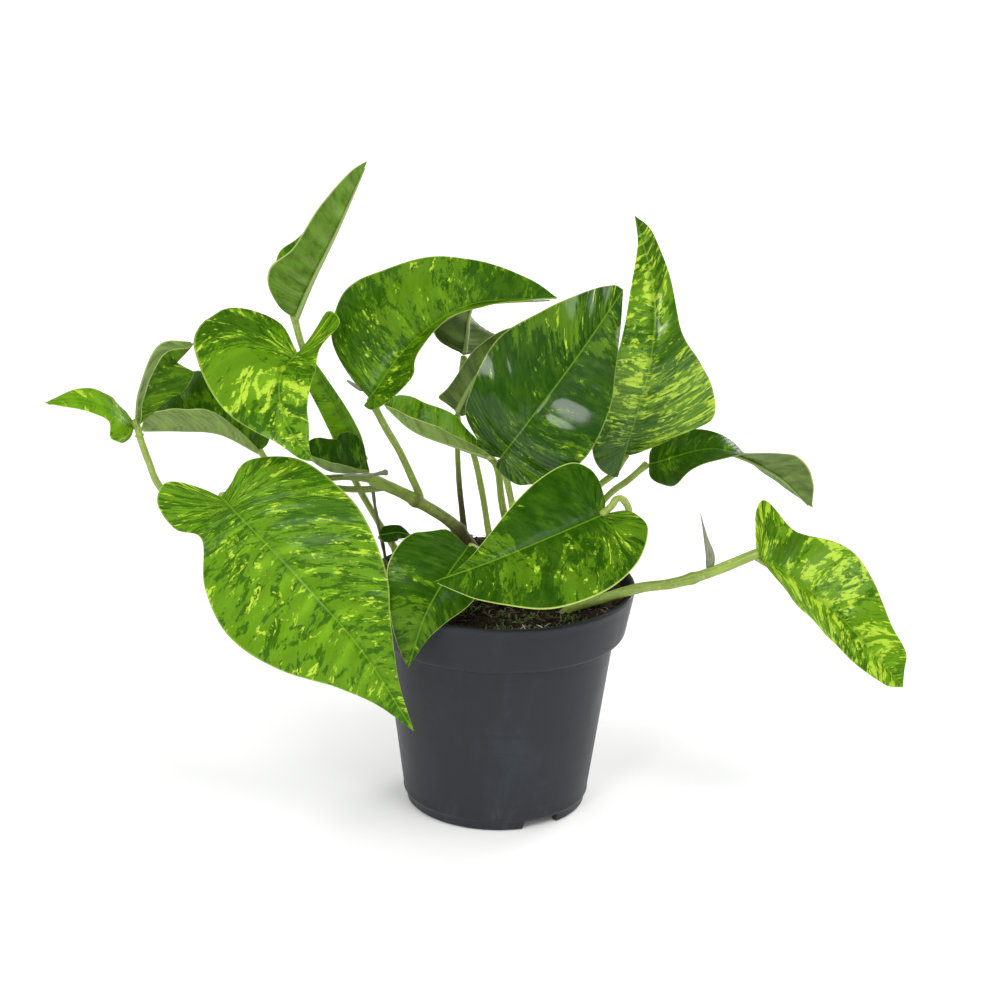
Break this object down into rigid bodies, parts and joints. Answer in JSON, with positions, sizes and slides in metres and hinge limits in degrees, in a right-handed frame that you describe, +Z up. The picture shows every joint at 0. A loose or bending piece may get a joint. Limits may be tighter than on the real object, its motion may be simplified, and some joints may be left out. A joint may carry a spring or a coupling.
{
  "type": "potted golden pothos",
  "caption": "Potted variegated pothos: heart-shaped marbled leaves on arching stalks in a round dark plastic nursery pot of peat soil.",
  "frame": {"origin": "centre of the pot's underside, on the surface the pot stands on", "axes": "+Z up the pot's axis; +X to the right as seen from the front, along the plant's longest spread; -Y towards the front"},
  "size_m": [0.373, 0.1552, 0.2861],
  "materials": {
    "pot_plastic": "charcoal injection-moulded plastic, satin, faint moulding lines",
    "peat_soil": "dark fibrous peat with light fibres, loose and matt",
    "leaf_blade": "glossy green upper side marbled lime yellow, paler matt underside",
    "stem_skin": "pale green smooth stalk, browner at the base",
    "dry_sheath": "dry papery sheath and root skin, grey brown"
  },
  "bodies": {
    "root": {"bract_small": "dry_sheath", "bract_spike": "dry_sheath", "leaf_back_centre": "leaf_blade", "leaf_back_folded": "leaf_blade", "leaf_centre_narrow": "leaf_blade", "leaf_centre_small": "leaf_blade", "leaf_far_left": "leaf_blade", "leaf_far_right": "leaf_blade", "leaf_front_centre": "leaf_blade", "leaf_front_left": "leaf_blade", "leaf_front_small": "leaf_blade", "leaf_left_long": "leaf_blade", "leaf_left_upfolded": "leaf_blade", "leaf_left_upper": "leaf_blade", "leaf_right_glossy": "leaf_blade", "leaf_right_tall": "leaf_blade", "leaf_right_twisted": "leaf_blade", "leaf_sheath": "leaf_blade", "leaf_spear": "leaf_blade", "leaf_tiny": "leaf_blade", "leaf_top_arch": "leaf_blade", "petiole_back_centre": "stem_skin", "petiole_back_folded": "stem_skin", "petiole_centre_narrow": "stem_skin", "petiole_front_centre": "stem_skin", "petiole_front_left": "stem_skin", "petiole_front_small": "stem_skin", "petiole_left_long": "stem_skin", "petiole_right_glossy": "stem_skin", "petiole_right_tall": "stem_skin", "petiole_right_twisted": "stem_skin", "petiole_spear": "stem_skin", "petiole_tiny": "stem_skin", "petiole_top_arch": "stem_skin", "pot": "pot_plastic", "root_aerial": "dry_sheath", "soil": "peat_soil", "stem_stub": "dry_sheath", "vine_far_right": "stem_skin", "vine_main": "stem_skin", "vine_runner": "stem_skin"}
  },
  "joints": []
}
